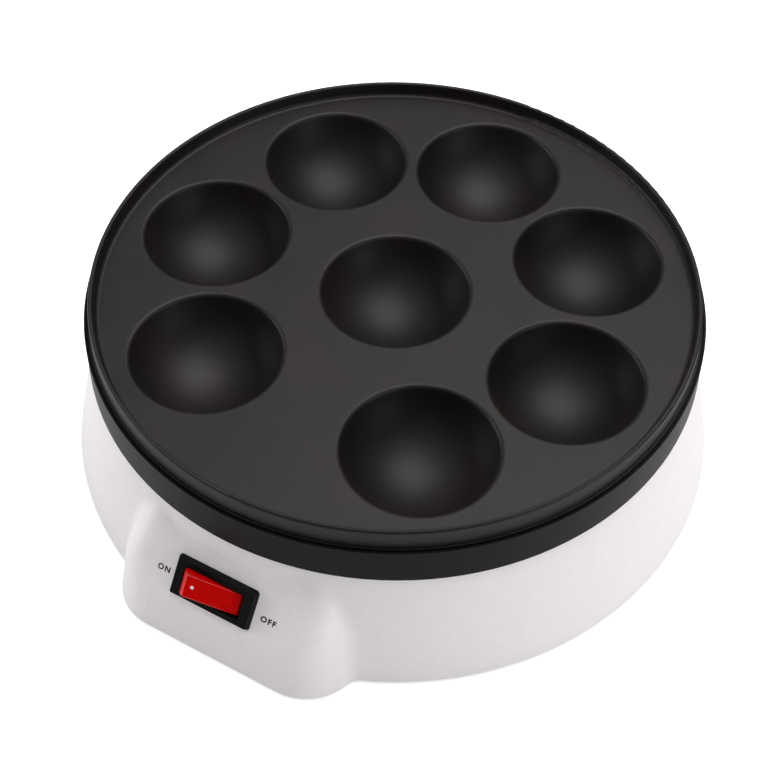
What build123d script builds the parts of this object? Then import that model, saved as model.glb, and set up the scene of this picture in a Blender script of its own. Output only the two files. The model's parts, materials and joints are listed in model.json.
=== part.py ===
from build123d import *
import math
import os

# Aebleskiver maker: a round electric pan with one centre bowl and seven around it, on a white
# moulded base with a rocker switch. Millimetres, +Z up. Shapes are built about the drum's upright
# axis and moved at the end, so that the origin is under the middle of the whole outline.

# Bowls and cooking plate
bowl_radius = 26.0
bowl_depth = 21.0
bowl_lip_round = 1.6
bowl_gap = 4.78
ring_step = 48.0
ring_bowls = 7
plate_height = 66.5
plate_wall = 2.5
deck_margin = 7.6
rim_rise = 5.1
rim_width = 1.5
rim_lean = 0.7
rim_draft = 0.3
flange_drop = 2.6
flange_thickness = 1.0
flange_width = 0.6
skirt_inset = 1.9
skirt_depth = 9.0
skirt_wall = 2.4

# Collar ring between plate and base
collar_height = 14.9
skirt_clearance = 0.3
collar_flare = 0.35
collar_lip = 0.8
lip_height = 0.8
flange_gap = 0.55
spigot_depth = 3.8
spigot_wall = 2.0
spigot_clearance = 0.2
spigot_rise = 3.0
collar_slope_rise = 6.0
collar_foot_rise = 0.6
collar_foot_inset = 0.5

# White base, with its control housing at the front
base_step = 0.85
base_flare = 10.4
base_wall = 2.5
rim_clearance = 1.5
housing_reach = 7.2
housing_half_width = 46.0
housing_corner = 20.0
housing_draft = 10.8
housing_round = 14.0
housing_blend = 6.0
housing_blank = 60.0
panel_setback = 9.3
panel_drop = 19.2
panel_tilt = 35.4
rib_count = 8
rib_thickness = 1.8
rib_height = 11.0
rib_reach = 6.0

# Bottom cover, feet and the screws that clamp the whole stack
cover_thickness = 2.0
cover_gap = 0.4
cover_rise = 3.0
vent_length = 18.0
vent_width = 3.0
vent_rings = (30.0, 44.0)
vents_per_ring = 8
foot_radius = 6.5
foot_inset = 17.4
foot_round = 0.8
foot_stem = 2.4
foot_barb = 3.5
foot_barb_height = 4.0
post_inset = 7.2
post_angles = (66.0, 114.0, 210.0, 330.0)
boss_radius = 5.0
post_across_flats = 8.0
stud_radius = 1.95
stud_length = 12.0
thread_clearance = 0.06
stud_head_radius = 3.8
stud_head_height = 2.0
washer_thickness = 0.8
washer_radius = 5.0
cover_screw_length = 12.0
screw_hole_gap = 0.15
blind_end = 0.2
screw_end_gap = 0.1

# Heating element, clipped under the plate in a cast channel
element_offset = 0.1
element_deck_gap = 0.1
element_radius = 3.3
element_leg_gap = 7.0
element_leg_setback = 16.0
element_leg_bend = 9.0
element_ring_bend = 8.0
element_end = 44.0
channel_rib = 2.0
channel_depth = 4.0
channel_clearance = 0.5
clip_angles = (18.0, 114.0, 210.0)
clip_reach = 11.0
clip_boss_radius = 3.4
clip_width = 7.0
clip_thickness = 0.8
clip_hook = 2.4
clip_gap = 0.25
seal_radius = 3.6
seal_length = 8.0
seal_round = 0.6
pin_radius = 1.2
pin_stub = 3.0
tab_width = 6.3
tab_thickness = 0.8
tab_length = 8.0

# Reflector under the bowls
reflector_clearance = 1.2
reflector_gap = 3.0
reflector_thickness = 0.8
reflector_rim = 5.0
notch_half_width = 24.0
notch_margin = 10.0

# Thermostat, thermal fuse and earth point in the front gap of the pattern
thermostat_inset = 15.4
thermostat_radius = 7.8
thermostat_body = 7.0
thermostat_cap = 1.6
thermostat_cap_wall = 0.4
thermostat_lug = 0.6
thermostat_lug_half = 3.0
thermostat_round = 0.8
thermostat_hole_gap = 12.0
thermostat_boss = 1.6
thermostat_boss_radius = 3.2
thermostat_tab_gap = 4.8
fuse_x = -29.0
fuse_setback = 0.5
fuse_radius = 2.0
fuse_length = 10.0
fuse_lead_radius = 0.5
fuse_deck_gap = 0.2
sleeve_length = 16.0
sleeve_wall = 0.6
fuse_boss_radius = 2.6
fuse_boss_gap = 0.5
fuse_clip_half = 3.0
fuse_clip_gap = 0.3
fuse_clip_hook = 4.0
fuse_screw_length = 3.6
small_screw = 1.45
small_head_radius = 2.6
small_head_height = 1.6
clip_screw_length = 6.0
earth_angle = 162.0
earth_screw_length = 10.0
tag_radius = 4.2
tag_tail = 14.0
tag_tail_half = 1.6
tag_thickness = 0.8

# Rocker switch, in the panel's own axes: x towards OFF, y up the slope, z out of the panel
switch_across = -1.7
switch_up = -0.7
bezel_length = 31.0
bezel_width = 14.8
bezel_height = 2.0
bezel_draft = 25.0
bezel_corner = 1.4
opening_length = 22.8
opening_width = 9.2
switch_side_wall = 1.5
switch_end_wall = 2.2
switch_floor = 1.6
switch_depth = 13.0
cutout_clearance = 0.2
latch_reach = 1.0
latch_width = 6.0
latch_length = 5.3
bezel_round = 0.2
rocker_swing = 15.0
rocker_gap = 0.3
rocker_top = 3.4
rocker_top_inset = 1.6
rocker_side_lean = 0.35
rocker_widest = 0.6
rocker_end_ease = 0.1
rocker_round = 0.5
rocker_skirt = 3.6
rocker_wall = 1.2
rocker_pin_radius = 1.2
rocker_pin_reach = 0.5
pin_clearance = 0.05
barrel_radius = 2.5
barrel_bore = 1.7
barrel_length = 4.2
bore_top = 1.5
plunger_radius = 1.2
plunger_head = 1.6
plunger_head_height = 0.8
plunger_rise = 3.2
spring_wire = 0.3
spring_turns = 5
seesaw_depth = 9.6
seesaw_length = 17.0
seesaw_width = 4.0
seesaw_thickness = 0.8
seesaw_round = 0.8
seesaw_ratio = 0.4
button_radius = 1.2
button_height = 0.4
knife_radius = 0.4
running_gap = 0.05
plunger_gap = 0.1
terminal_spacing = 7.6
terminal_width = 4.8
terminal_reach = 21.5
load_pad_half = 1.4
load_pad_thickness = 0.6
closed_gap = 0.15
lamp_radius = 1.5
lamp_round = 0.6
lamp_gap = 0.2
lamp_barrel_gap = 0.4

# Mains entry at the back
gland_height = 20.0
gland_pad_rise = 1.87
gland_pad = 9.5
gland_pad_depth = 7.0
gland_bore = 3.4
gland_body = 5.5
gland_flange = 8.0
gland_flange_thickness = 1.8
gland_depth = 14.0
gland_round = 0.8
nut_across_flats = 15.0
nut_thickness = 4.0
block_y = 76.0
block_length = 33.0
block_width = 17.0
block_height = 14.0
block_corner = 1.5
block_pitch = 10.0
block_entry_rise = 6.0
block_entry_radius = 2.0
block_screw_radius = 1.7
block_screw_length = 5.0
block_screw_reach = 4.5
block_fixing_radius = 1.6
wire_radius = 1.3
wire_end_gap = 0.3
connector_wall = 0.7
connector_round = 0.9
connector_tail = 4.0
connector_cover = 4.0

# Reach of the plain solids that only cut others, well past the whole part
beyond = 200.0

# Worked out from the sizes above
bowl_sphere = (bowl_radius**2 + bowl_depth**2) / (2 * bowl_depth)
ring_radius = (bowl_radius + bowl_gap / 2) / math.sin(math.radians(ring_step / 2))
deck_radius = ring_radius + bowl_radius + deck_margin
deck_under = plate_height - plate_wall
flange_top = plate_height - flange_drop
flange_bottom = flange_top - flange_thickness
rim_outer = deck_radius + rim_lean + rim_width
flange_radius = rim_outer + rim_draft + flange_width
skirt_outer = flange_radius - skirt_inset
skirt_inner = skirt_outer - skirt_wall
lip_inner = flange_radius + flange_gap
collar_radius = lip_inner + collar_lip
base_top = flange_bottom + lip_height - collar_height
base_top_radius = collar_radius - base_step
base_bottom_radius = base_top_radius + base_flare
base_slope = base_flare / (base_top - rim_clearance)
housing_front = base_bottom_radius + housing_reach
panel_reach = housing_front - panel_setback
panel_rise = base_top - panel_drop
spigot_radius = base_top_radius - base_wall - spigot_clearance
cover_top = cover_rise + cover_thickness
foot_circle = base_bottom_radius - foot_inset
post_circle = skirt_inner - post_inset
boss_end = plate_height - bowl_depth - plate_wall - reflector_gap
reflector_radius = skirt_inner - reflector_clearance
reflector_bottom = boss_end - reflector_thickness
post_top = reflector_bottom - washer_thickness
element_ring = ring_radius / 2 + element_offset
element_height = deck_under - element_radius - element_deck_gap
clip_boss_circle = element_ring + clip_reach
thermostat_reach = deck_radius - thermostat_inset
element_leg_reach = thermostat_reach - element_leg_setback
notch_inner = element_leg_reach - notch_margin
fuse_y = fuse_setback - thermostat_reach
gland_seat = base_bottom_radius - base_slope * (gland_height - rim_clearance) + gland_pad_rise
axis_shift = (housing_front - base_bottom_radius) / 2
panel = Plane(
    origin=(0, -panel_reach, panel_rise),
    x_dir=(1, 0, 0),
    z_dir=(0, -math.cos(math.radians(panel_tilt)), math.sin(math.radians(panel_tilt))),
)
switch_seat = Plane(
    origin=panel.from_local_coords(Vector(switch_across, switch_up, 0)),
    x_dir=panel.x_dir,
    z_dir=panel.z_dir,
)
switch_length = opening_length + 2 * switch_end_wall
switch_width = opening_width + 2 * switch_side_wall
rocker_reach = opening_length / 2 - rocker_gap
rocker_half_width = opening_width / 2 - rocker_gap
lamp_start = barrel_radius + lamp_barrel_gap
lamp_end = rocker_reach - rocker_top_inset - rocker_wall - lamp_gap
plunger_tip = seesaw_depth - knife_radius - running_gap - seesaw_thickness - plunger_gap


def polar(radius, angle, z=0.0):
    """Point at a radius and an angle about the upright axis."""
    turn = math.radians(angle)
    return Vector(radius * math.cos(turn), radius * math.sin(turn), z)


def upright(radius, bottom, top, x=0.0, y=0.0):
    """Upright cylinder between two heights."""
    middle = (bottom + top) / 2
    return Pos(x, y, middle) * Cylinder(radius, top - bottom)


def block(x_range, y_range, z_range):
    """Box between its low and high sides."""
    sizes = [high - low for low, high in (x_range, y_range, z_range)]
    middle = [(low + high) / 2 for low, high in (x_range, y_range, z_range)]
    return Pos(*middle) * Box(*sizes)


def turned(points):
    """Solid of revolution from (radius, height) points."""
    outline = Polyline(*[(r, 0, z) for r, z in points], close=True)
    return revolve(make_face(outline), axis=Axis.Z)


def side_profile(points, width):
    """Solid of an (x, z) outline, of a width centred on y = 0."""
    outline = Polyline(*[(x, 0, z) for x, z in points], close=True)
    return extrude(make_face(outline), width / 2, dir=(0, 1, 0), both=True)


def group(solids):
    """Separate solids kept as one part."""
    return Compound([solid for shape in solids for solid in shape.solids()])


def save(name, shape):
    """Write one sub-part, moved from the drum's axis to the part's origin."""
    export_step(Pos(0, axis_shift, 0) * shape, f"parts/{name}.step")


def circles(shape, radius, height=None):
    """Round edges of a radius, at one height if it is given."""
    round_edges = shape.edges().filter_by(GeomType.CIRCLE)
    picked = round_edges.filter_by(lambda e: abs(e.radius - radius) < 0.01)
    if height is None:
        return picked
    return picked.filter_by(lambda e: abs(e.center().Z - height) < 0.01)


def bowl_centres():
    """The centre bowl, then the ring of bowls with its gap at the front."""
    first = 90 - ring_step * (ring_bowls - 1) / 2
    ring = [polar(ring_radius, first + ring_step * k) for k in range(ring_bowls)]
    return [Vector(0, 0, 0)] + ring


def pan_screw(radius, length, head_radius, head_height):
    """Pan head screw pointing up, with its head's seat at z = 0 and a cross recess below."""
    shank = upright(radius, 0, length)
    head = fillet(upright(head_radius, -head_height, 0).edges().group_by(Axis.Z)[0], head_height * 0.4)
    slot = Box(head_radius * 1.2, head_radius * 0.28, head_height)
    recess = Pos(0, 0, -head_height) * (slot + Rot(0, 0, 90) * slot)
    return shank + head - recess


# Cooking plate: cast deck, raised rim, flange, skirt, eight bowls and the bosses below


def plate_bosses():
    """Cast bosses under the deck as (x, y, boss radius, lower end, hole radius)."""
    bosses = []
    for angle in post_angles + (earth_angle,):
        place = polar(post_circle, angle)
        bosses.append((place.X, place.Y, boss_radius, boss_end, stud_radius + thread_clearance))
    for angle in clip_angles:
        place = polar(clip_boss_circle, angle)
        lower = element_height - element_radius
        bosses.append((place.X, place.Y, clip_boss_radius, lower, small_screw + thread_clearance))
    for side in (-1, 1):
        lower = deck_under - thermostat_boss
        x = side * thermostat_hole_gap
        bosses.append((x, -thermostat_reach, thermostat_boss_radius, lower, small_screw + thread_clearance))
    lower = fuse_height() - fuse_radius - sleeve_wall
    bosses.append((fuse_x, fuse_y - fuse_foot(), fuse_boss_radius, lower, small_screw + thread_clearance))
    return bosses


def fuse_height():
    """Height of the fuse's axis, with its sleeve just under the deck."""
    return deck_under - fuse_radius - sleeve_wall - fuse_deck_gap


def fuse_foot():
    """Distance from the fuse's axis to the screw of its clip."""
    return fuse_radius + sleeve_wall + clip_thickness + fuse_boss_radius + fuse_boss_gap


def cooking_plate():
    """One casting, with the bowls open above and every blind hole open below."""
    crest = plate_height + rim_rise
    skirt_end = plate_height - skirt_depth
    section = [
        (0, plate_height),
        (deck_radius, plate_height),
        (deck_radius + rim_lean, crest),
        (rim_outer, crest),
        (rim_outer + rim_draft, flange_top),
        (flange_radius, flange_top),
        (flange_radius, flange_bottom),
        (skirt_outer, flange_bottom),
        (skirt_outer, skirt_end),
        (skirt_inner, skirt_end),
        (skirt_inner, deck_under),
        (0, deck_under),
    ]
    plate = turned(section)
    crest_edges = plate.edges().filter_by(GeomType.CIRCLE).group_by(Axis.Z)[-1]
    plate = fillet(crest_edges, rim_width * 0.46)
    plate = fillet(circles(plate, deck_radius, plate_height), rim_width)
    sphere_centre = plate_height - bowl_depth + bowl_sphere
    below_deck = upright(deck_radius, 0, plate_height - plate_wall / 2)
    bulb = (Pos(0, 0, sphere_centre) * Sphere(bowl_sphere + plate_wall)) & below_deck
    hollow = Pos(0, 0, sphere_centre) * Sphere(bowl_sphere)
    plate += [Pos(*place) * bulb for place in bowl_centres()]
    plate += element_channel()
    bosses = plate_bosses()
    plate += [upright(r, low, plate_height - plate_wall / 2, x, y) for x, y, r, low, hole in bosses]
    plate -= [Pos(*place) * hollow for place in bowl_centres()]
    plate -= [upright(hole, low - 1, deck_under - blind_end, x, y) for x, y, r, low, hole in bosses]
    return fillet(circles(plate, bowl_radius, plate_height), bowl_lip_round)


def element_channel():
    """Two ribs that hold the element's ring, open at the front where its legs leave."""
    low = deck_under - channel_depth
    high = plate_height - plate_wall / 2
    reach = element_radius + channel_clearance
    inner = element_ring - reach
    outer = element_ring + reach
    ribs = upright(inner, low, high) - upright(inner - channel_rib, low - 1, high + 1)
    ribs += upright(outer + channel_rib, low, high) - upright(outer, low - 1, high + 1)
    half = element_leg_gap + element_radius + element_ring_bend
    return ribs - block((-half, half), (-outer - 20, 0), (low - 1, deck_under))


# Collar and base


def collar_ring():
    """Black ring with a rebate for the plate's flange and a spigot into the base."""
    top = flange_bottom + lip_height
    outer_low = collar_radius + collar_flare
    inner = skirt_outer + skirt_clearance
    spigot_end = base_top - spigot_depth
    spigot_inner = spigot_radius - spigot_wall
    section = [
        (collar_radius, top),
        (outer_low, base_top + collar_foot_rise),
        (outer_low - collar_foot_inset, base_top),
        (spigot_radius, base_top),
        (spigot_radius, spigot_end),
        (spigot_inner, spigot_end),
        (spigot_inner, base_top + spigot_rise),
        (inner, base_top + collar_slope_rise),
        (inner, flange_bottom),
        (lip_inner, flange_bottom),
        (lip_inner, top),
    ]
    return turned(section)


def drum_with_housing(inset, bottom, top, blend):
    """Flared drum and its control housing, taken in from the outside by an inset."""
    low_radius = base_bottom_radius - base_slope * (bottom - rim_clearance) - inset
    high_radius = base_bottom_radius - base_slope * (top - rim_clearance) - inset
    drum = turned([(0, bottom), (low_radius, bottom), (high_radius, top), (0, top)])
    front = housing_front - inset
    half = housing_half_width - inset
    back = base_top_radius / 2
    plan = Pos(0, -(front + back) / 2, rim_clearance) * RectangleRounded(
        2 * half, front - back, housing_corner - inset
    )
    housing = extrude(plan, housing_blank, taper=housing_draft)
    if bottom < rim_clearance:
        housing += extrude(plan, bottom - rim_clearance)
    cutter = panel.location * Pos(0, 0, -inset) * Box(
        2 * beyond, 2 * beyond, beyond, align=(Align.CENTER, Align.CENTER, Align.MIN)
    )
    housing -= cutter
    slanted = housing.faces().filter_by(
        lambda f: f.geom_type == GeomType.PLANE and f.normal_at().dot(panel.z_dir) > 0.999
    )
    housing = fillet(slanted.sort_by(SortBy.AREA)[-1].edges().filter_by(
        lambda e: e.center().Y < -back - 5
    ), housing_round - inset)
    housing &= block((-beyond, beyond), (-beyond, 0), (bottom, top - inset * 0.8))
    body = drum + housing
    if blend > 0:
        seam = new_edges(drum, housing, combined=body)
        body = fillet(seam, blend)
    return body


def base_shell():
    """White moulded shell, open at the top and bottom, with ribs that the cover bears on."""
    outer = drum_with_housing(0, rim_clearance, base_top, housing_blend)
    inner = drum_with_housing(base_wall, rim_clearance - 1, base_top, 0)
    top_opening = upright(base_top_radius - base_wall, base_top - base_wall, base_top + 1)
    shell = outer - inner - top_opening
    ribs = []
    for k in range(rib_count):
        angle = 360 * (k + 0.5) / rib_count
        if abs(angle - 270) > 30:
            reach = base_bottom_radius - base_wall - rib_reach
            arm = block((reach, base_bottom_radius), (-rib_thickness / 2, rib_thickness / 2),
                        (cover_top, cover_top + rib_height))
            ribs.append((Rot(0, 0, angle) * arm) & outer)
    pad = Cylinder(gland_pad, gland_pad_depth, align=(Align.CENTER, Align.CENTER, Align.MIN))
    shell += ribs
    shell += at_gland(pad)
    window = Box(switch_length + 2 * cutout_clearance, switch_width + 2 * cutout_clearance, 4 * base_wall)
    shell -= on_switch_seat(window)
    return shell - gland_hole()


def at_gland(shape):
    """Place a shape built about +Z, with z = 0 at the gland's seat and +Z into the base."""
    return Pos(0, gland_seat, gland_height) * Rot(90, 0, 0) * shape


def gland_hole():
    """Hole through the back wall for the mains gland."""
    return at_gland(Cylinder(gland_body + 0.1, 4 * gland_pad_depth))


# Bottom cover, feet, posts and clamping screws


def post_places():
    """Plan position of each post."""
    return [polar(post_circle, angle) for angle in post_angles]


def foot_places():
    """Plan position of each foot."""
    return [polar(foot_circle, 45 + 90 * k) for k in range(4)]


def bottom_cover():
    """Flat pressed cover with vents, screw holes and foot holes."""
    sheet = drum_with_housing(base_wall + cover_gap, rim_clearance - 1, base_top, 0)
    sheet &= block((-beyond, beyond), (-beyond, beyond), (cover_rise, cover_top))
    slot = Pos(0, 0, cover_rise) * Box(vent_width, vent_length, 3 * cover_thickness)
    for radius in vent_rings:
        for k in range(vents_per_ring):
            sheet -= Rot(0, 0, 360 * (k + 0.5) / vents_per_ring) * Pos(radius, 0, 0) * slot
    holes = [upright(stud_radius + 0.2, 0, 2 * cover_top, p.X, p.Y) for p in post_places()]
    holes += [upright(foot_stem + running_gap, 0, 2 * cover_top, p.X, p.Y) for p in foot_places()]
    return sheet - holes


def rubber_feet():
    """Push-in feet, each with a pad below the cover and a barb above it."""
    barb_low = cover_top + running_gap
    foot = turned([
        (0, 0), (foot_radius - foot_round, 0), (foot_radius, foot_round), (foot_radius, cover_rise),
        (foot_stem, cover_rise), (foot_stem, barb_low), (foot_barb, barb_low),
        (foot_stem * 0.6, cover_top + foot_barb_height), (0, cover_top + foot_barb_height),
    ])
    return group(Pos(p.X, p.Y, 0) * foot for p in foot_places())


def plate_posts():
    """Hexagonal posts from the cover up to the plate's bosses, with a stud on top."""
    hexagon = RegularPolygon(post_across_flats / 2, 6, major_radius=False)
    post = extrude(Pos(0, 0, cover_top) * hexagon, post_top - cover_top)
    post += upright(stud_radius, post_top, post_top + stud_length)
    post -= upright(stud_radius + thread_clearance, cover_top - 1, cover_top + cover_screw_length)
    return group(Pos(p.X, p.Y, 0) * post for p in post_places())


def post_washers():
    """Insulating washers between the posts and the reflector."""
    ring = upright(washer_radius, post_top, reflector_bottom)
    ring -= upright(stud_radius + screw_hole_gap, post_top - 1, reflector_bottom + 1)
    return group(Pos(p.X, p.Y, 0) * ring for p in post_places())


def cover_screws():
    """Screws that clamp cover, base, collar and plate together through the posts."""
    screw = pan_screw(stud_radius, cover_screw_length, stud_head_radius, stud_head_height)
    return group(Pos(p.X, p.Y, cover_rise) * screw for p in post_places())


def heat_reflector():
    """Sheet dish under the bowls, notched at the front for the wiring."""
    dish = upright(reflector_radius, reflector_bottom, boss_end + reflector_rim)
    dish -= upright(reflector_radius - reflector_thickness, boss_end, boss_end + reflector_rim + 1)
    dish -= block((-notch_half_width, notch_half_width), (-beyond, -notch_inner), (0, beyond))
    for angle in post_angles + (earth_angle,):
        place = polar(post_circle, angle)
        dish -= upright(stud_radius + screw_hole_gap, 0, boss_end + 1, place.X, place.Y)
    return dish


# Heating element and what holds it


def arc_about(centre, radius, across, up, first, last):
    """Arc from one angle to another, in the plane of two directions."""
    points = []
    for angle in (first, (first + last) / 2, last):
        turn = math.radians(angle)
        points.append(centre + across * (radius * math.cos(turn)) + up * (radius * math.sin(turn)))
    return ThreePointArc(*points)


def heating_element():
    """Sheathed tube: a ring round the centre bowl, with two legs out to the front gap."""
    x_way, y_way, z_way = Vector(1, 0, 0), Vector(0, 1, 0), Vector(0, 0, 1)
    leg = element_leg_gap
    down = Vector(leg, element_leg_bend - element_leg_reach, element_height - element_leg_bend)
    bow_x = leg + element_ring_bend
    bow_y = -math.sqrt((element_ring + element_ring_bend) ** 2 - bow_x**2)
    bow = Vector(bow_x, bow_y, element_height)
    touch = math.degrees(math.atan2(bow_y, bow_x))
    half = [
        Line((leg, -element_leg_reach, element_end), (leg, -element_leg_reach, down.Z)),
        arc_about(down, element_leg_bend, y_way, z_way, 180, 90),
        Line((leg, down.Y, element_height), (leg, bow_y, element_height)),
        arc_about(bow, element_ring_bend, x_way, y_way, 180, 180 + touch),
    ]
    ring = arc_about(Vector(0, 0, element_height), element_ring, x_way, y_way, touch, 180 - touch)
    other_half = [mirror(line, about=Plane.YZ) for line in half]
    path = Wire([line.edge() for line in [*half, ring, *other_half]])
    section = Plane(origin=(leg, -element_leg_reach, element_end)) * Circle(element_radius)
    return sweep(section, path=path)


def element_seals():
    """Ceramic beads on the element's ends."""
    low = element_end - seal_length
    bead = upright(seal_radius, low, element_end) - upright(pin_radius + 0.05, low - 1, element_end + 1)
    bead = fillet(circles(bead, seal_radius), seal_round)
    return group(Pos(side * element_leg_gap, -element_leg_reach, 0) * bead for side in (-1, 1))


def element_pins():
    """Terminal pins in the beads, each flattened to a tab below."""
    low = element_end - seal_length
    pin = upright(pin_radius, low - pin_stub - 1, element_end)
    tab = block((-tab_width / 2, tab_width / 2), (-tab_thickness / 2, tab_thickness / 2),
                (low - pin_stub - tab_length, low - pin_stub))
    pin += tab
    return group(Pos(side * element_leg_gap, -element_leg_reach, 0) * pin for side in (-1, 1))


def element_clips():
    """Bent straps that hold the ring up against the plate."""
    low = element_height - element_radius
    inner = element_ring - element_radius - clip_gap
    outer = clip_boss_circle + clip_boss_radius
    strap = block((inner - clip_thickness, outer), (-clip_width / 2, clip_width / 2),
                  (low - clip_thickness, low))
    hook = block((inner - clip_thickness, inner), (-clip_width / 2, clip_width / 2), (low, low + clip_hook))
    strap += hook
    strap -= upright(small_screw + screw_hole_gap, 0, beyond, clip_boss_circle, 0)
    return group(Rot(0, 0, angle) * strap for angle in clip_angles)


def element_screws():
    """Screws of the element's clips."""
    screw = pan_screw(small_screw, clip_screw_length, small_head_radius, small_head_height)
    seat = element_height - element_radius - clip_thickness
    return group(Rot(0, 0, angle) * Pos(clip_boss_circle, 0, seat) * screw for angle in clip_angles)


# Thermostat, thermal fuse and earth point


def thermostat_levels():
    """Heights of the lugs' top and underside, and of the body's underside."""
    lug_top = deck_under - thermostat_boss
    lug_bottom = lug_top - thermostat_lug
    return lug_top, lug_bottom, lug_bottom - thermostat_body


def thermostat_cap_part():
    """Metal cap that faces the plate, with its two screw lugs."""
    lug_top, lug_bottom, body_bottom = thermostat_levels()
    cap = upright(thermostat_radius + thermostat_cap_wall, lug_bottom, lug_bottom + thermostat_cap)
    reach = thermostat_hole_gap + thermostat_lug_half
    cap += block((-reach, reach), (-thermostat_lug_half, thermostat_lug_half), (lug_bottom, lug_top))
    for side in (-1, 1):
        cap -= upright(small_screw + screw_hole_gap, 0, beyond, side * thermostat_hole_gap, 0)
    return Pos(0, -thermostat_reach, 0) * cap


def thermostat_body_part():
    """Round insulating body below the cap."""
    lug_top, lug_bottom, body_bottom = thermostat_levels()
    body = upright(thermostat_radius, body_bottom, lug_bottom)
    body = fillet(body.edges().group_by(Axis.Z)[0], thermostat_round)
    return Pos(0, -thermostat_reach, 0) * body


def thermostat_tabs():
    """Two push-on tabs below the body."""
    lug_top, lug_bottom, body_bottom = thermostat_levels()
    tab = block((-tab_thickness / 2, tab_thickness / 2), (-tab_width / 2, tab_width / 2),
                (body_bottom - tab_length, body_bottom))
    return group(Pos(side * thermostat_tab_gap, -thermostat_reach, 0) * tab for side in (-1, 1))


def thermostat_screws():
    """Two screws into the plate's small bosses."""
    lug_top, lug_bottom, body_bottom = thermostat_levels()
    length = thermostat_boss + thermostat_lug - blind_end - screw_end_gap
    screw = pan_screw(small_screw, length, small_head_radius, small_head_height)
    places = [(side * thermostat_hole_gap, -thermostat_reach, lug_bottom) for side in (-1, 1)]
    return group(Pos(*place) * screw for place in places)


def thermal_fuse():
    """One-shot fuse with a stub of lead at each end."""
    can = Rot(0, 90, 0) * Cylinder(fuse_radius, fuse_length)
    leads = Rot(0, 90, 0) * Cylinder(fuse_lead_radius, sleeve_length)
    return Pos(fuse_x, fuse_y, fuse_height()) * (can + leads)


def fuse_sleeve():
    """Glass-fibre sleeve over the fuse."""
    tube = Cylinder(fuse_radius + sleeve_wall, sleeve_length)
    tube -= Cylinder(fuse_radius + running_gap, sleeve_length + 2)
    return Pos(fuse_x, fuse_y, fuse_height()) * Rot(0, 90, 0) * tube


def fuse_clip():
    """Strap under the sleeve, with its foot screwed to the plate's boss."""
    low = fuse_height() - fuse_radius - sleeve_wall
    reach = fuse_radius + sleeve_wall + fuse_clip_gap
    foot = fuse_foot() + fuse_boss_radius
    half = fuse_clip_half
    strap = block((-half, half), (-foot, reach + clip_thickness), (low - clip_thickness, low))
    strap += block((-half, half), (reach, reach + clip_thickness), (low, low + fuse_clip_hook))
    strap -= upright(small_screw + screw_hole_gap, 0, beyond, 0, -fuse_foot())
    return Pos(fuse_x, fuse_y, 0) * strap


def fuse_screw():
    """Screw of the fuse's clip."""
    seat = fuse_height() - fuse_radius - sleeve_wall - clip_thickness
    screw = pan_screw(small_screw, fuse_screw_length, small_head_radius, small_head_height)
    return Pos(fuse_x, fuse_y - fuse_foot(), seat) * screw


def earth_tag():
    """Ring tag under the reflector, with a tail for the earth wire."""
    low = reflector_bottom - tag_thickness
    ring = upright(tag_radius, low, reflector_bottom)
    ring += block((-tag_tail, 0), (-tag_tail_half, tag_tail_half), (low, reflector_bottom))
    ring -= upright(stud_radius + screw_hole_gap, 0, beyond)
    place = polar(post_circle, earth_angle)
    return Pos(place.X, place.Y, 0) * Rot(0, 0, earth_angle) * ring


def earth_screw():
    """Screw that clamps the earth tag and reflector to the plate's boss."""
    place = polar(post_circle, earth_angle)
    seat = reflector_bottom - tag_thickness
    screw = pan_screw(stud_radius, earth_screw_length, stud_head_radius, stud_head_height)
    return Pos(place.X, place.Y, seat) * screw


# Rocker switch, built about its own middle in the panel's axes


def on_switch_seat(shape):
    """Move a shape from the switch's axes to the drum's."""
    return switch_seat.location * shape


def switch_housing():
    """Black housing: bezel, body with end latches, and pivot holes for the rocker."""
    bezel = extrude(RectangleRounded(bezel_length, bezel_width, bezel_corner), bezel_height, taper=bezel_draft)
    bezel = fillet(bezel.faces().sort_by(Axis.Z)[-1].edges(), bezel_round)
    half_length = switch_length / 2
    half_width = switch_width / 2
    body = block((-half_length, half_length), (-half_width, half_width), (-switch_depth, bezel_height / 4))
    latch_top = -base_wall - cutout_clearance
    latch = side_profile(
        [
            (half_length - 1, latch_top),
            (half_length + latch_reach, latch_top - 0.3),
            (half_length, latch_top - latch_length),
            (half_length - 1, latch_top - latch_length),
        ],
        latch_width,
    )
    housing = bezel + body + latch + mirror(latch, about=Plane.YZ)
    inside = block((-opening_length / 2, opening_length / 2), (-opening_width / 2, opening_width / 2),
                   (-switch_depth + switch_floor, bezel_height + 1))
    housing -= inside
    pivot = Rot(90, 0, 0) * Cylinder(rocker_pin_radius + pin_clearance, 2 * pivot_reach() + 0.4)
    housing -= pivot
    slot_half = tab_thickness / 2 + running_gap
    slot_width = terminal_width / 2 + running_gap
    for x in terminal_places():
        housing -= block((x - slot_half, x + slot_half), (-slot_width, slot_width),
                         (-switch_depth - 1, -switch_depth + switch_floor + 1))
    return on_switch_seat(housing)


def pivot_reach():
    """Half the length over the rocker's two pivot pins."""
    return opening_width / 2 + rocker_pin_reach


def terminal_places():
    """Lamp, common and load terminals along the switch."""
    return (-terminal_spacing, 0.0, terminal_spacing)


def tilted_rocker(shape):
    """Turn a piece of the rocker from level to its OFF rest."""
    return on_switch_seat(Rot(0, rocker_swing, 0) * shape)


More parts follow.
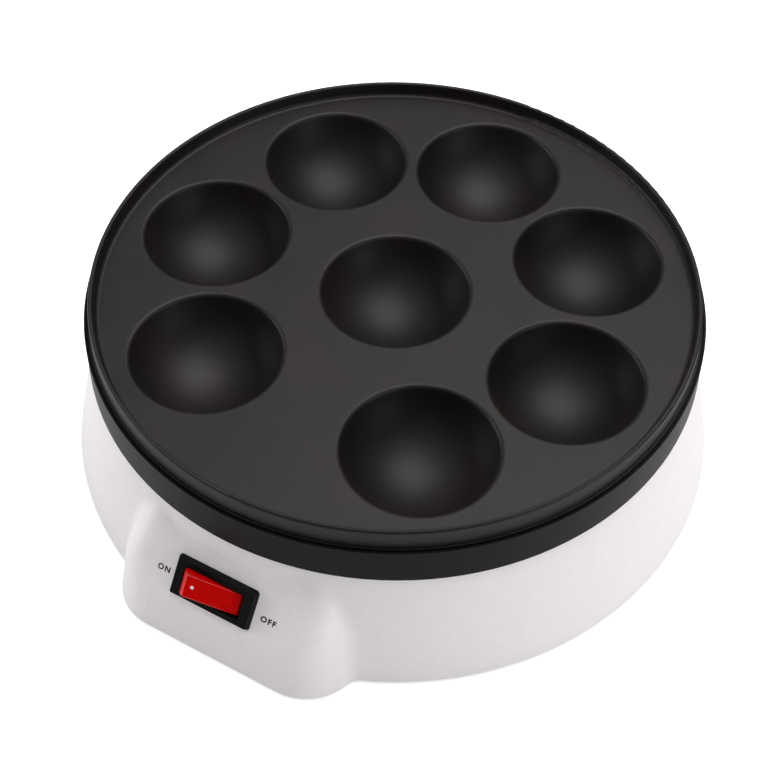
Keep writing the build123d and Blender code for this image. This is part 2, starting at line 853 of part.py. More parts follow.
def rocker_form(inset, bottom):
    """The key's outer form, or with an inset its hollow. Sides and ends lean in towards the top."""
    top = rocker_top - inset
    top_half = rocker_reach - rocker_top_inset - inset
    wide_half = rocker_reach - rocker_end_ease - inset
    low_half = math.sqrt(rocker_reach**2 - rocker_skirt**2) - rocker_end_ease - inset
    width_half = rocker_half_width - inset
    length_outline = [
        (-top_half, top), (top_half, top), (wide_half, rocker_widest),
        (low_half, bottom), (-low_half, bottom), (-wide_half, rocker_widest),
    ]
    width_outline = Polyline(
        (0, rocker_side_lean - width_half, top), (0, width_half - rocker_side_lean, top),
        (0, width_half, rocker_widest), (0, width_half, bottom),
        (0, -width_half, bottom), (0, -width_half, rocker_widest), close=True,
    )
    width_form = extrude(make_face(width_outline), rocker_reach, dir=(1, 0, 0), both=True)
    return side_profile(length_outline, 2 * width_half) & width_form


def rocker():
    """Hollow translucent key with a flat top, two pivot pins and a barrel for the spring."""
    key = rocker_form(0, -rocker_skirt)
    key = fillet(key.faces().sort_by(Axis.Z)[-1].edges(), rocker_round)
    wall = rocker_wall
    key -= rocker_form(wall, -rocker_skirt - 1)
    pins = Rot(90, 0, 0) * Cylinder(rocker_pin_radius, 2 * pivot_reach())
    pins -= block((-5, 5), (-rocker_half_width + wall, rocker_half_width - wall), (-5, 5))
    key += pins
    key += upright(barrel_radius, -barrel_length, rocker_top - wall / 2)
    key -= upright(barrel_bore, -barrel_length - 1, bore_top)
    return tilted_rocker(key)


def switch_plunger():
    """Headed pin with a round tip that pushes the see-saw contact."""
    centre = plunger_tip - plunger_radius
    pin = upright(plunger_radius, -centre, -plunger_rise) + Pos(0, 0, -centre) * Sphere(plunger_radius)
    pin += upright(plunger_head, -plunger_rise - plunger_head_height, -plunger_rise)
    return tilted_rocker(pin)


def switch_spring():
    """Coil spring between the plunger's head and the top of the barrel."""
    space = bore_top + plunger_rise - 2 * spring_wire - 0.1
    mean = barrel_bore - spring_wire - 0.15
    path = Helix(pitch=space / spring_turns, height=space, radius=mean)
    section = Plane(origin=path @ 0, z_dir=path % 0) * Circle(spring_wire)
    coil = sweep(section, path=path)
    return tilted_rocker(Pos(0, 0, -plunger_rise + spring_wire + 0.05) * coil)


def neon_lamp():
    """Small neon lamp lying under the rocker's ON end."""
    glass = Rot(0, 90, 0) * Cylinder(lamp_radius, lamp_end - lamp_start)
    glass = fillet(glass.edges().filter_by(GeomType.CIRCLE), lamp_round)
    x = -(lamp_start + lamp_end) / 2
    z = rocker_top - rocker_wall - lamp_gap - lamp_radius
    return tilted_rocker(Pos(x, 0, z) * glass)


def switch_contact():
    """See-saw bar on the common terminal's rounded edge, tilted to its OFF rest."""
    low = knife_radius + running_gap
    half = seesaw_length / 2
    bar = block((-half, half), (-seesaw_width / 2, seesaw_width / 2), (low, low + seesaw_thickness))
    bar = fillet(bar.edges().filter_by(Axis.Z), seesaw_round)
    bar += upright(button_radius, low - button_height, low, terminal_spacing, 0)
    return on_switch_seat(Pos(0, 0, -seesaw_depth) * Rot(0, -rocker_swing * seesaw_ratio, 0) * bar)


def switch_terminals():
    """Lamp, common and load terminals through the housing's floor."""
    blades = []
    floor_top = -switch_depth + switch_floor
    closed = math.radians(rocker_swing * seesaw_ratio)
    button_low = (knife_radius + running_gap - button_height) * math.cos(closed)
    load_top = -seesaw_depth + button_low - terminal_spacing * math.sin(closed) - closed_gap
    tops = (floor_top + 0.5, -seesaw_depth, load_top)
    half = tab_thickness / 2
    for x, top in zip(terminal_places(), tops):
        blades.append(block((x - half, x + half), (-terminal_width / 2, terminal_width / 2),
                            (-terminal_reach, top)))
    blades[1] += Pos(0, 0, -seesaw_depth) * Rot(90, 0, 0) * Cylinder(knife_radius, terminal_width)
    blades[2] += block((terminal_spacing - load_pad_half, terminal_spacing + load_pad_half),
                       (-load_pad_half, load_pad_half), (load_top - load_pad_thickness, load_top))
    return group(on_switch_seat(blade) for blade in blades)


# Mains entry, terminal block and wiring


def cord_gland():
    """Bush through the back wall, with its flange outside."""
    barrel = Cylinder(gland_body, gland_depth, align=(Align.CENTER, Align.CENTER, Align.MIN))
    flange = Cylinder(gland_flange, gland_flange_thickness,
                      align=(Align.CENTER, Align.CENTER, Align.MAX))
    bush = barrel + flange
    bush = fillet(bush.edges().filter_by(GeomType.CIRCLE).group_by(Axis.Z)[0], gland_round)
    bush -= Cylinder(gland_bore, 4 * gland_depth)
    return at_gland(bush)


def gland_nut():
    """Nut on the bush inside the wall."""
    hexagon = RegularPolygon(nut_across_flats / 2, 6, major_radius=False)
    nut = extrude(Pos(0, 0, gland_pad_depth) * hexagon, nut_thickness)
    nut -= Cylinder(gland_body + thread_clearance, 4 * gland_depth)
    return at_gland(nut)


def terminal_block():
    """Three-way block standing on the cover."""
    half = block_length / 2
    body = block((-half, half), (block_y - block_width / 2, block_y + block_width / 2),
                 (cover_top, cover_top + block_height))
    body = fillet(body.edges().filter_by(Axis.Z), block_corner)
    entry = cover_top + block_entry_rise
    way_through = Rot(90, 0, 0) * Cylinder(block_entry_radius, 2 * block_width)
    for k in (-1, 0, 1):
        body -= Pos(k * block_pitch, block_y, entry) * way_through
    for x, y in block_screw_places():
        body -= upright(block_screw_radius + screw_hole_gap / 2, entry, beyond, x, y)
    for side in (-1, 1):
        body -= upright(block_fixing_radius, 0, beyond, side * block_pitch / 2, block_y)
    return body


def block_screw_places():
    """Plan position of the six clamping screws."""
    return [(k * block_pitch, block_y + side * block_screw_reach) for k in (-1, 0, 1) for side in (-1, 1)]


def block_screws():
    """Six slotted clamping screws in the block."""
    top = block_screw_length / 2
    screw = Cylinder(block_screw_radius, block_screw_length) - Pos(0, 0, top) * Box(4, 0.6, 1.2)
    middle = cover_top + block_height - top - 1
    return group(Pos(x, y, middle) * screw for x, y in block_screw_places())


def bend_radii(points):
    """Largest tangent arcs that a route's runs allow, one for each corner."""
    radii = []
    for before, corner, after in zip(points, points[1:], points[2:]):
        arrive = corner - before
        leave = after - corner
        turn = math.radians(arrive.get_angle(leave))
        radii.append(0.45 * min(arrive.length, leave.length) / math.tan(turn / 2))
    return radii


def wire(points):
    """Insulated wire along straight runs joined by tangent arcs."""
    route = [Vector(*point) for point in points]
    path = FilletPolyline(*route, radius=bend_radii(route))
    section = Plane(origin=path @ 0, z_dir=path % 0) * Circle(wire_radius)
    return sweep(section, path=path)


def tab_ends():
    """Where each wire meets a tab, and the way in which it runs up to it."""
    lug_top, lug_bottom, body_bottom = thermostat_levels()
    into_panel = panel.z_dir
    upwards = Vector(0, 0, 1)
    ends = {}
    for name, x in zip(("lamp", "common", "load"), terminal_places()):
        ends[name] = (switch_seat.from_local_coords(Vector(x, 0, -terminal_reach)), into_panel)
    pin_low = element_end - seal_length - pin_stub - tab_length
    for name, side in (("pin_left", -1), ("pin_right", 1)):
        ends[name] = (Vector(side * element_leg_gap, -element_leg_reach, pin_low), upwards)
    stat_low = body_bottom - tab_length
    for name, side in (("stat_left", -1), ("stat_right", 1)):
        ends[name] = (Vector(side * thermostat_tab_gap, -thermostat_reach, stat_low), upwards)
    return ends


def run_up(end, *distances):
    """Points of a route on the line of a tab, at distances short of its end."""
    place, way = tab_ends()[end]
    return [tuple(place - way * distance) for distance in distances]


def wire_routes():
    """Each wire's route, chosen by hand between the tabs, the block and the fuse."""
    front = block_y - block_width / 2 - wire_end_gap
    entry = cover_top + block_entry_rise
    fuse_left = (fuse_x - sleeve_length / 2 - wire_end_gap, fuse_y, fuse_height())
    fuse_right = (fuse_x + sleeve_length / 2 + wire_end_gap, fuse_y, fuse_height())
    tag = polar(post_circle - tag_tail + 2, earth_angle, reflector_bottom - tag_thickness - wire_end_gap)
    pin = tab_ends()["pin_right"][0]
    return {
        "live_wire": [
            (block_pitch, front, entry), (block_pitch, 50, 9), (24, 20, 7), (30, -25, 7), (27, -62, 7),
            (14, -82, 7), (1, -86, 7.5), *run_up("common", 7, wire_end_gap),
        ],
        "neutral_wire": [
            (0, front, entry), (0, 50, 8), (4, 20, 7), (7, -20, 7), (9, -52, 7.5),
            *run_up("pin_right", 16, wire_end_gap),
        ],
        "earth_wire": [
            (-block_pitch, front, entry), (-block_pitch, 52, 9), (-34, 40, 8), (-60, 31, 10),
            (tag.X + 2, tag.Y, 15), tuple(tag),
        ],
        "switched_wire": [
            *run_up("load", wire_end_gap, 6), (14, -84, 15), (14, -81, 30),
            *run_up("stat_right", 9, wire_end_gap),
        ],
        "lamp_wire": [
            *run_up("lamp", wire_end_gap, 6), (-2, -86, 11), (6, -82, 17), (8.5, -82, 28),
            (8.5, pin.Y - 4, pin.Z + 5.4), (8.5, pin.Y - tab_thickness / 2 - 0.1, pin.Z + 5.4),
        ],
        "fuse_feed": [
            *run_up("stat_left", wire_end_gap, 7), (-13, -88, 37), (-16.5, -88, 46), (-15.6, -87.5, 54),
            (-17.6, fuse_y, 60.6), fuse_right,
        ],
        "fuse_return": [
            fuse_left, (-41.5, -88.5, 58.5), (-41, -90, 51), (-30, -92, 48), (-20.5, -94, 40),
            (-18, -92, 28), (-11, -80, 14), *run_up("pin_left", 10, wire_end_gap),
        ],
    }


def tab_connectors():
    """Insulated push-on connectors, each with a slot for its tab and a hole for its wire."""
    connectors = []
    for name, (place, way) in tab_ends().items():
        width = terminal_width if name in ("lamp", "common", "load") else tab_width
        across = Vector(1, 0, 0) if name.startswith("pin") else Vector(0, 1, 0)
        across = (across - way * across.dot(way)).normalized()
        seat = Plane(origin=place, x_dir=across, z_dir=way)
        connectors.append(seat.location * tab_connector(width / 2))
    return group(connectors)


def tab_connector(half):
    """One connector about +Z, for a tab of half the given width, with the tab's end at z = 0."""
    side = wire_radius + connector_wall
    slot_half = tab_thickness / 2 + running_gap
    shell = block((-half - connector_wall, half + connector_wall), (-side, side),
                  (-connector_tail, connector_cover))
    shell = fillet(shell.edges().filter_by(Axis.Z), connector_round)
    shell -= block((-half - running_gap, half + running_gap), (-slot_half, slot_half),
                   (-wire_end_gap, connector_cover + 1))
    return shell - upright(wire_radius + 0.1, -connector_tail - 1, 0)


sub_parts = {
    "base_shell": base_shell,
    "collar_ring": collar_ring,
    "cooking_plate": cooking_plate,
    "heating_element": heating_element,
    "element_pins": element_pins,
    "element_seals": element_seals,
    "element_clips": element_clips,
    "element_screws": element_screws,
    "heat_reflector": heat_reflector,
    "plate_posts": plate_posts,
    "post_washers": post_washers,
    "thermostat_cap": thermostat_cap_part,
    "thermostat_body": thermostat_body_part,
    "thermostat_tabs": thermostat_tabs,
    "thermostat_screws": thermostat_screws,
    "thermal_fuse": thermal_fuse,
    "fuse_sleeve": fuse_sleeve,
    "fuse_clip": fuse_clip,
    "fuse_screw": fuse_screw,
    "earth_tag": earth_tag,
    "earth_screw": earth_screw,
    "tab_connectors": tab_connectors,
    "terminal_block": terminal_block,
    "block_screws": block_screws,
    "bottom_cover": bottom_cover,
    "cover_screws": cover_screws,
    "rubber_feet": rubber_feet,
    "cord_gland": cord_gland,
    "gland_nut": gland_nut,
    "switch_housing": switch_housing,
    "rocker": rocker,
    "switch_plunger": switch_plunger,
    "switch_spring": switch_spring,
    "neon_lamp": neon_lamp,
    "switch_contact": switch_contact,
    "switch_terminals": switch_terminals,
}

os.makedirs("parts", exist_ok=True)
for name, make in sub_parts.items():
    save(name, make())
for name, points in wire_routes().items():
    save(name, wire(points))
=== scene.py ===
# %% [markdown]
# An electric pan for aebleskiver, the small ball-shaped pancakes. The working shapes arrive as one
# imported model: plate, collar, base, switch and everything inside. What is left for this lesson is the
# look of each surface, the printed marks and the light. The model comes first.

# %% Load the imported model
import bpy
import json
import math
from mathutils import Matrix, Vector


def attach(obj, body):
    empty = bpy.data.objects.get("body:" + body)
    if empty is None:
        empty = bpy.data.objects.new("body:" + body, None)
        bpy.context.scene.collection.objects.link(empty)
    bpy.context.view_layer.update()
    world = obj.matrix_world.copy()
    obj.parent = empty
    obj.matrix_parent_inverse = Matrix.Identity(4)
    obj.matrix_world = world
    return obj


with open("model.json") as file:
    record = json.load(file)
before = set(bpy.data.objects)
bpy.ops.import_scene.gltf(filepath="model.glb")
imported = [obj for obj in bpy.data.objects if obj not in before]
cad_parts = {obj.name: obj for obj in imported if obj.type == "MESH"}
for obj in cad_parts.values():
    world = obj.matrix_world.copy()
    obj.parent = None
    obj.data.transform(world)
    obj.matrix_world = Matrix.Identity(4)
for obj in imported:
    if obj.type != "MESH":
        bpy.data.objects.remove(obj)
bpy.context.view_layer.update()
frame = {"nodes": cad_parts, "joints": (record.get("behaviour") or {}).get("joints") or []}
nodes = frame["nodes"]
mm = 0.001

# %% [markdown]
# Every finish is a node material. Paint charts and photo editors give colours as sRGB hex values, and
# Blender's sockets want linear light, so one function converts them. A second small function adds a
# node with its settings and links. With these two, a material reads like a recipe, from its pattern to
# its surface.

# %% Colour and node helpers
tone_low, tone_high = 0.3, 0.7      # a noise stays near a half, so the tone drifts between these levels
full_detail, smooth_detail = 4.0, 2.0


def linear(code):
    """Linear RGBA of an sRGB hex colour, by the sRGB standard's own curve."""
    values = [int(code[i:i + 2], 16) / 255 for i in (1, 3, 5)]
    return tuple(v / 12.92 if v <= 0.04045 else ((v + 0.055) / 1.055) ** 2.4 for v in values) + (1.0,)


def new_material(name):
    """Empty node material, its tree and its shader."""
    material = bpy.data.materials.new(name)
    material.use_nodes = True
    tree = material.node_tree
    return material, tree, tree.nodes["Principled BSDF"]


def add(tree, kind, settings=None, inputs=None):
    """Add a node, with its settings, and with inputs given as values or as sockets to link from."""
    node = tree.nodes.new(kind)
    for key, value in (settings or {}).items():
        setattr(node, key, value)
    for key, value in (inputs or {}).items():
        if isinstance(value, bpy.types.NodeSocket):
            tree.links.new(value, node.inputs[key])
        else:
            node.inputs[key].default_value = value
    return node


def paint(material, *names):
    """Give a material to CAD nodes."""
    for name in names:
        data = nodes[name].data
        data.materials.clear()
        data.materials.append(material)


def grain(tree, shader, size, depth, detail=full_detail):
    """Fine relief with grains of a real size, in millimetres, and the noise that makes it."""
    place = add(tree, "ShaderNodeTexCoord")
    noise = add(tree, "ShaderNodeTexNoise", None, {
        "Vector": place.outputs["Object"], "Scale": 1 / (size * mm), "Detail": detail})
    bump = add(tree, "ShaderNodeBump", None, {
        "Height": noise.outputs["Fac"], "Strength": 1.0, "Distance": depth * mm})
    tree.links.new(bump.outputs["Normal"], shader.inputs["Normal"])
    return noise


def vary(tree, source, dark, light, low=tone_low, high=tone_high):
    """Colour that drifts between two hex colours as a noise goes from low to high."""
    ramp = add(tree, "ShaderNodeValToRGB", None, {"Fac": source})
    ramp.color_ramp.elements[0].position = low
    ramp.color_ramp.elements[0].color = linear(dark)
    ramp.color_ramp.elements[1].position = high
    ramp.color_ramp.elements[1].color = linear(light)
    return ramp.outputs["Color"]


def surface(name, dark, light, size, depth, settings, detail=full_detail):
    """Material whose tone and relief share one grain of a real size, with its shader's settings."""
    material, tree, shader = new_material(name)
    noise = grain(tree, shader, size, depth, detail)
    tone = vary(tree, noise.outputs["Fac"], dark, light)
    tree.links.new(tone, shader.inputs["Base Color"])
    for key, value in settings.items():
        shader.inputs[key].default_value = value
    return material


# %% [markdown]
# The cooking plate is die-cast aluminium, blasted and sprayed with a dark PTFE non-stick coating. The
# coat is a satin black with a fine pebble from the blasting, and tiny lighter specks of mineral filler.
# PTFE bends light less than other plastics, and with its binder has an IOR near 1.4, so it mirrors
# little: the walls of the bowls fall off to near black while the flat deck keeps a soft sheen. One flat
# colour looks like card. So a broad noise drifts the tone towards a warm brown, as baked coatings do, a
# fine noise gives the pebble, and small cells give the specks.

# %% PTFE non-stick coating
pebble_size, pebble_depth = 0.45, 0.009
drift_size = 32 * mm
drift_detail = 3.0
drift_low, drift_high = 0.35, 0.65
speck_spacing = 1.1 * mm
speck_radius = 0.12                 # as a share of that spacing
smoothest, roughest = 0.46, 0.55
ptfe_ior = 1.4
mix_a, mix_b, mix_result = 6, 7, 2  # a Mix node's colour sockets share their names with its other types


def ptfe_coating():
    """Satin coat with a drifting tone, a pebbled face and mineral specks."""
    material, tree, shader = new_material("PTFE_non_stick_coating")
    pebble = grain(tree, shader, pebble_size, pebble_depth)
    place = add(tree, "ShaderNodeTexCoord")
    drift = add(tree, "ShaderNodeTexNoise", None, {
        "Vector": place.outputs["Object"], "Scale": 1 / drift_size, "Detail": drift_detail})
    tone = vary(tree, drift.outputs["Fac"], "#0A0909", "#16100E", drift_low, drift_high)
    cells = add(tree, "ShaderNodeTexVoronoi", None, {
        "Vector": place.outputs["Object"], "Scale": 1 / speck_spacing})
    speck = add(tree, "ShaderNodeMath", {"operation": "LESS_THAN"}, {
        0: cells.outputs["Distance"], 1: speck_radius})
    mix = add(tree, "ShaderNodeMix", {"data_type": "RGBA"}, {
        "Factor": speck.outputs[0], mix_a: tone, mix_b: linear("#34312F")})
    tree.links.new(mix.outputs[mix_result], shader.inputs["Base Color"])
    rough = add(tree, "ShaderNodeMapRange", None, {
        "Value": pebble.outputs["Fac"], "To Min": smoothest, "To Max": roughest})
    tree.links.new(rough.outputs[0], shader.inputs["Roughness"])
    shader.inputs["IOR"].default_value = ptfe_ior
    return material


paint(ptfe_coating(), "cooking_plate")

# %% [markdown]
# The collar is a black heat-resistant moulding, glass-filled PBT. It comes out of a satin tool: darker
# than the plate's coat, with broader and smoother highlights. Its wall looks down on the white floor,
# and the fibres near the skin scatter that reflection, which a lower specular level stands for.

# %% Black PBT collar
black_pbt = surface("black_PBT_moulding", "#0C0B0B", "#111010", 0.3, 0.004, {
    "Roughness": 0.42, "Specular IOR Level": 0.08})
paint(black_pbt, "collar_ring", "thermostat_body")

# %% [markdown]
# The base is white polypropylene, injection moulded with a gloss. Real polypropylene lets a little light
# in, which softens the shadow edges. A trace of subsurface light does that, and a slight orange-peel
# keeps the highlights from looking like glass.

# %% White polypropylene base
white_polypropylene = surface("white_polypropylene", "#F1EEEF", "#F4F1F2", 2.5, 0.0025, {
    "Roughness": 0.3, "Specular IOR Level": 0.4,
    "Subsurface Weight": 0.08, "Subsurface Radius": (0.002, 0.002, 0.0018)}, smooth_detail)
paint(white_polypropylene, "base_shell")

# %% [markdown]
# The switch is a bought part. Its housing is black nylon with a fine spark-eroded texture, which hardly
# shines. Its key is red translucent polycarbonate with a polished face, lit from within when it is on:
# light that enters it comes back redder, and sharp highlights lie on top.

# %% Switch finishes
black_nylon = surface("black_nylon", "#0A0B0A", "#0F100F", 0.25, 0.004, {
    "Roughness": 0.4, "Specular IOR Level": 0.12})
paint(black_nylon, "switch_housing", "cord_gland", "gland_nut")

red_polycarbonate = surface("red_polycarbonate", "#C40000", "#D60202", 1.5, 0.002, {
    "Roughness": 0.2, "Specular IOR Level": 0.3,
    "Subsurface Weight": 0.15, "Subsurface Radius": (0.002, 0.0002, 0.0002)}, smooth_detail)
paint(red_polycarbonate, "rocker")

# %% [markdown]
# Inside are steel, brass, ceramic, fibre and wire. Most of it shows only when someone takes the object
# apart, but each still gets its own finish. The metals come first: on these the tone and the gloss drift
# over patches of a real size, from a millimetre on plated screws to several on rolled sheet.

# %% Metals inside
patch_depth = 0.003


def metal(name, dark, light, roughness, size):
    """Bare or plated metal with patches of a real size."""
    return surface(name, dark, light, size, patch_depth, {"Metallic": 1.0, "Roughness": roughness})


# Zinc plate is a pale grey with a trace of yellow, and only half mirrors.
paint(metal("zinc_plated_steel", "#B4B2AB", "#C8C6BE", 0.34, 1.2),
      "element_pins", "element_clips", "element_screws", "plate_posts", "thermostat_screws", "fuse_clip",
      "thermal_fuse", "fuse_screw", "earth_screw", "block_screws", "cover_screws", "switch_spring")
# Hot-dipped aluminium leaves an even, milky silver.
paint(metal("aluminised_steel", "#BDBDBA", "#D0D0CC", 0.42, 3.0), "heat_reflector", "thermostat_cap")
# Stainless steel browns once it has been red hot.
paint(metal("heat_dulled_stainless", "#6E655B", "#8C8175", 0.45, 4.0), "heating_element")
# Brass straight from the press is bright and yellow.
paint(metal("stamped_brass", "#B3924A", "#CBAA5E", 0.3, 1.5),
      "thermostat_tabs", "earth_tag", "switch_contact", "switch_terminals")

# %% [markdown]
# The rest is plastic, ceramic, glass and rubber. They differ in tone, in how dull they are and in how
# coarse their grain is, so one short function serves them all.

# %% Insulators, wires and rubber


def moulded(name, dark, light, roughness, size=0.25, depth=0.004):
    """Plain non-metal with a grain of a real size."""
    return surface(name, dark, light, size, depth, {"Roughness": roughness})


# Undyed nylon is a warm off-white with a soft shine.
paint(moulded("natural_nylon", "#D2CFC2", "#DCD9CE", 0.45),
      "tab_connectors", "terminal_block", "switch_plunger")
# Unglazed steatite is chalky, and so matt that it has no highlight.
paint(moulded("unglazed_steatite", "#D3CEBF", "#DFDACD", 0.7, 0.4, 0.01), "element_seals")
# Vulcanised fibre is pressed from red-brown paper, and its face stays a little woolly.
paint(moulded("vulcanised_fibre", "#6E3423", "#804030", 0.6, 0.5, 0.01), "post_washers")
# Woven glass shows the relief of its braid, cream and quite matt.
paint(moulded("woven_glass_sleeve", "#D8D6CC", "#EDEBE3", 0.8, 0.6, 0.03),
      "fuse_sleeve", "fuse_feed", "fuse_return")
# Silicone wire has a smooth, soft skin. Brown is live, blue neutral and green the earth.
paint(moulded("brown_silicone", "#3A2015", "#452818", 0.5), "live_wire", "switched_wire")
paint(moulded("blue_silicone", "#1D3D86", "#24479A", 0.5), "neutral_wire", "lamp_wire")
paint(moulded("green_silicone", "#3E7A30", "#488A38", 0.5), "earth_wire")
# Rubber is a dark grey that takes the light off everything.
paint(moulded("soft_rubber", "#1D1D1D", "#262626", 0.75, 0.4, 0.01), "rubber_feet")
# The cover is the base's plastic from a rougher tool, so it looks duller and a little darker.
paint(moulded("spark_textured_polypropylene", "#DAD8D6", "#E2E0DE", 0.55, 0.35, 0.012), "bottom_cover")
# The neon lamp is drawn as pale, shiny glass.
paint(moulded("lamp_glass", "#D8D0C4", "#E4DCD0", 0.1), "neon_lamp")

# %% [markdown]
# The panel slopes, so the marks on it are placed with one matrix, built from the rocker's hinge: its pin
# is on the panel's plane and its axis points down the slope. Working from the joint means that the marks
# stay with the switch if the switch ever moves. The key rests tilted by half of its swing, so its own
# marks take the same matrix with that turn added.

# %% The panel's own axes
press = next(j for j in frame["joints"] if j["name"] == "rocker_press")
switch_point = Vector(press["pos_m"])
slope_up = -Vector(press["axis"])
slope_up.normalize()
across = Vector((1, 0, 0))
outward = across.cross(slope_up)
panel_turn = Matrix((across, slope_up, outward)).transposed().to_4x4()
panel_matrix = Matrix.Translation(switch_point) @ panel_turn
key_tilt = math.radians(max(press["range_deg"])) / 2
key_matrix = panel_matrix @ Matrix.Rotation(key_tilt, 4, "Y")
print("panel looks towards", [round(v, 3) for v in outward],
      "key tilt", round(math.degrees(key_tilt), 1))

# %% [markdown]
# ON and OFF are pad printed in near black, plain sans capitals a little over two millimetres high.
# Printing has no thickness worth modelling, but a flat face in the panel's plane would flicker against
# it, so each word is a text object with a few hundredths of a millimetre of body, made a mesh before it
# is placed.

# %% Printed words
ink = moulded("pad_print_ink", "#101010", "#161616", 0.5, 0.2, 0.002)
cap_height = 2.2 * mm
stroke_swell = 0.04
letter_space = 1.27
print_thickness = 0.03 * mm
curve_steps = 6
word_places = {"ON": (-19.6 * mm, -0.7 * mm), "OFF": (21.0 * mm, -1.0 * mm)}


def deselect():
    """Start each step with nothing selected, because operators act on all that is."""
    bpy.ops.object.select_all(action="DESELECT")


def settle(piece, matrix):
    """Place a mesh piece and leave its object at the origin."""
    piece.data.transform(matrix @ piece.matrix_world)
    piece.matrix_world = Matrix.Identity(4)


def printed_word(word, x, y):
    """One word, centred at a place on the panel."""
    deselect()
    bpy.ops.object.text_add(location=(0, 0, 0))
    piece = bpy.context.object
    piece.data.body = word
    piece.data.align_x = "CENTER"
    piece.data.align_y = "CENTER"
    piece.data.extrude = print_thickness
    piece.data.offset = stroke_swell
    piece.data.space_character = letter_space
    piece.data.resolution_u = curve_steps
    bpy.ops.object.convert(target="MESH")
    piece = bpy.context.object
    piece.name = "print_" + word.lower()
    scale = cap_height / piece.dimensions.y
    piece.data.transform(Matrix.Translation((x, y, 0)) @ Matrix.Diagonal((scale, scale, 1, 1)))
    settle(piece, panel_matrix)
    piece.data.materials.clear()
    piece.data.materials.append(ink)
    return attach(piece, "base")


for word, (x, y) in word_places.items():
    made = printed_word(word, x, y)
    print(made.name, [round(d / mm, 2) for d in made.dimensions])

# %% [markdown]
# Near its ON end the key carries a pale pip, little more than a millimetre across, that says which end
# makes contact. It is a drop of white ink with a domed top. A flat disc would do from afar, but up close
# the dome is what catches the light: so it is a filled circle, extruded, with its top edge rounded over.

# %% Pale pip on the key
pip_radius = 0.62 * mm
pip_height = 0.16 * mm
pip_sunk = 0.05 * mm
pip_sides = 40
pip_round_steps = 4
pip_place = (-6.9 * mm, 0.3 * mm)
smooth_below = math.radians(50)
key_top = max((key_matrix.inverted() @ v.co).z for v in nodes["rocker"].data.vertices)


def pale_pip(x, y):
    """Domed drop of ink, its foot sunk a little in the key's top."""
    deselect()
    bpy.ops.mesh.primitive_circle_add(vertices=pip_sides, radius=pip_radius, fill_type="NGON")
    piece = bpy.context.object
    piece.name = "key_pip"
    bpy.ops.object.mode_set(mode="EDIT")
    bpy.ops.mesh.extrude_region_move(TRANSFORM_OT_translate={"value": (0, 0, pip_height + pip_sunk)})
    bpy.ops.mesh.bevel(offset=pip_height, segments=pip_round_steps, affect="EDGES")
    bpy.ops.object.mode_set(mode="OBJECT")
    settle(piece, key_matrix @ Matrix.Translation((x, y, key_top - pip_sunk)))
    bpy.ops.object.shade_smooth_by_angle(angle=smooth_below)
    piece.data.materials.append(moulded("white_pad_print", "#F2DEDE", "#F8E8E8", 0.3, 0.2, 0.001))
    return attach(piece, "rocker_key")


made = pale_pip(*pip_place)
print(made.name, "on a key whose top is", round(key_top / mm, 2), "mm above its pin")

# %% [markdown]
# The picture is taken on a white sweep. The floor stays a real surface, so that it keeps the object's
# shadow, and gets a little light of its own for camera, glossy and transmission rays only: that lifts it
# to white without putting more light on the object. Mirrored in the black parts it gets only a small
# share of that, or the collar and the plate's rim would turn grey.

# %% Floor
floor_side = 12
floor_lift = 0.58
mirrored_share = 0.17


def white_sweep():
    """Matt white paper whose own light depends on which ray looks at it."""
    material, tree, shader = new_material("white_sweep")
    shader.inputs["Base Color"].default_value = linear("#F2F2F2")
    shader.inputs["Roughness"].default_value = 0.9
    rays = add(tree, "ShaderNodeLightPath")
    bounced = add(tree, "ShaderNodeMath", {"operation": "MAXIMUM"}, {
        0: rays.outputs["Is Glossy Ray"], 1: rays.outputs["Is Transmission Ray"]})
    weaker = add(tree, "ShaderNodeMath", {"operation": "MULTIPLY"}, {
        0: bounced.outputs[0], 1: mirrored_share})
    seen = add(tree, "ShaderNodeMath", {"operation": "MAXIMUM"}, {
        0: weaker.outputs[0], 1: rays.outputs["Is Camera Ray"]})
    lift = add(tree, "ShaderNodeMath", {"operation": "MULTIPLY"}, {
        0: seen.outputs[0], 1: floor_lift})
    shader.inputs["Emission Color"].default_value = (1, 1, 1, 1)
    tree.links.new(lift.outputs[0], shader.inputs["Emission Strength"])
    return material


deselect()
bpy.ops.mesh.primitive_plane_add(size=floor_side, location=(0, 0, 0))
floor = bpy.context.object
floor.name = "floor"
floor.data.materials.append(white_sweep())

# %% [markdown]
# The room is a studio with dark walls and a ceiling that is brightest towards the back, so its light
# grows along one slanting direction. A room that is equally bright all round would lay a grey veil on
# everything black, and the bowls would lose their depth. The camera itself sees plain white.

# %% Studio walls and ceiling
wall_light = 0.05
ceiling_light = 0.61
bright_way = (-0.1, 0.3, 0.95)


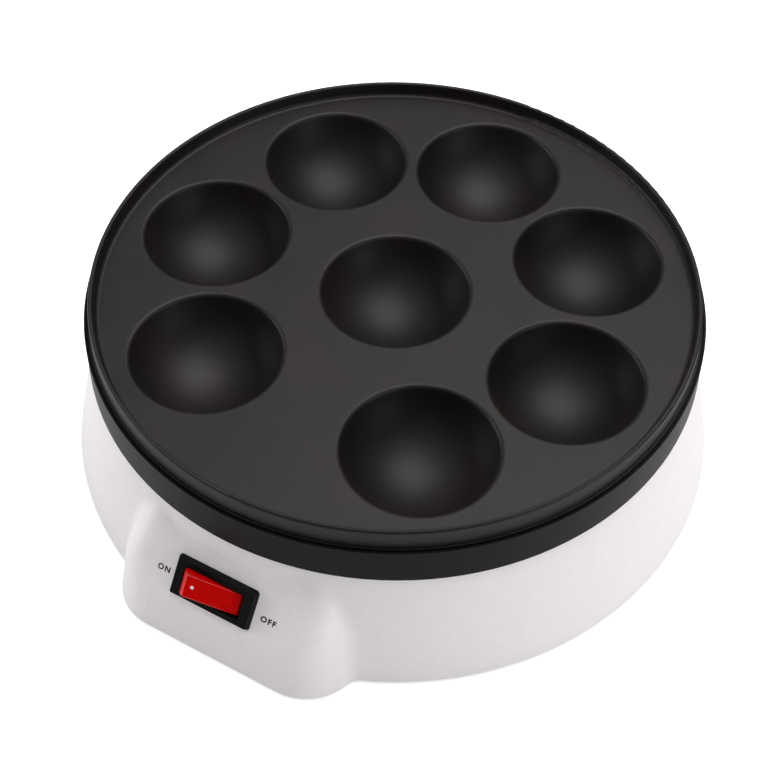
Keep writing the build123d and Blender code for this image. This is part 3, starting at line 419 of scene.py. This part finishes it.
def studio():
    """World light that grows along one direction, and plain white for the camera."""
    world = bpy.data.worlds.new("studio")
    bpy.context.scene.world = world
    world.use_nodes = True
    tree = world.node_tree
    back = tree.nodes["Background"]
    place = add(tree, "ShaderNodeTexCoord")
    along = add(tree, "ShaderNodeVectorMath", {"operation": "DOT_PRODUCT"}, {
        0: place.outputs["Generated"], 1: bright_way})
    slant = add(tree, "ShaderNodeMapRange", None, {
        "Value": along.outputs["Value"], "To Min": wall_light, "To Max": ceiling_light})
    rays = add(tree, "ShaderNodeLightPath")
    level = add(tree, "ShaderNodeMix", {"data_type": "FLOAT"}, {
        "Factor": rays.outputs["Is Camera Ray"], "A": slant.outputs[0], "B": 1.0})
    tree.links.new(level.outputs[0], back.inputs["Strength"])
    back.inputs["Color"].default_value = (1, 1, 1, 1)


studio()

# %% [markdown]
# One large box hangs almost overhead, a little to the back and to the right. Each bowl gathers it into a
# soft glow near its lowest point, and the collar throws its soft shadow on the base. Two low boxes light
# the white sides without reaching into the bowls. Places and sizes are in metres.

# %% Lamps


def soft_lamp(name, place, aim, size, watts, tint="#FFFFFF"):
    """Square area lamp that points at a place on the object."""
    data = bpy.data.lights.new(name, "AREA")
    data.shape = "SQUARE"
    data.size = size
    data.energy = watts
    data.color = linear(tint)[:3]
    lamp = bpy.data.objects.new(name, data)
    bpy.context.scene.collection.objects.link(lamp)
    lamp.location = place
    lamp.rotation_euler = (Vector(aim) - Vector(place)).to_track_quat("-Z", "Y").to_euler()


plate_middle = (0, 0, 0.06)
side_middle = (0, 0, 0.03)
soft_lamp("overhead_box", (0.08, 0.27, 1.12), plate_middle, size=1.0, watts=10.8, tint="#FFFAFA")
soft_lamp("left_box", (-0.96, -0.3, 0.17), side_middle, size=0.44, watts=4.2)
soft_lamp("right_box", (0.96, -0.24, 0.15), side_middle, size=0.36, watts=2.6)

# %% [markdown]
# The camera stands where the photographer did. Its place, aim and lens were fitted to the eight round
# bowl mouths, which are ellipses in the picture, and its small roll is kept too.

# %% Camera
camera_place = Vector((179.9, -323.9, 466.2)) * mm
camera_aim = Vector((20.7, -36.6, 66.5)) * mm
camera_roll = math.radians(0.836)
sensor_width = 36
focal_length = 72.48
data = bpy.data.cameras.new("photo_view")
data.sensor_width = sensor_width
data.lens = focal_length
camera = bpy.data.objects.new("photo_view", data)
bpy.context.scene.collection.objects.link(camera)
camera.location = camera_place
look = (camera_aim - camera_place).to_track_quat("-Z", "Y").to_matrix()
camera.rotation_euler = (look @ Matrix.Rotation(camera_roll, 3, "Z")).to_euler()
bpy.context.scene.camera = camera
bpy.context.scene.view_settings.view_transform = "Standard"
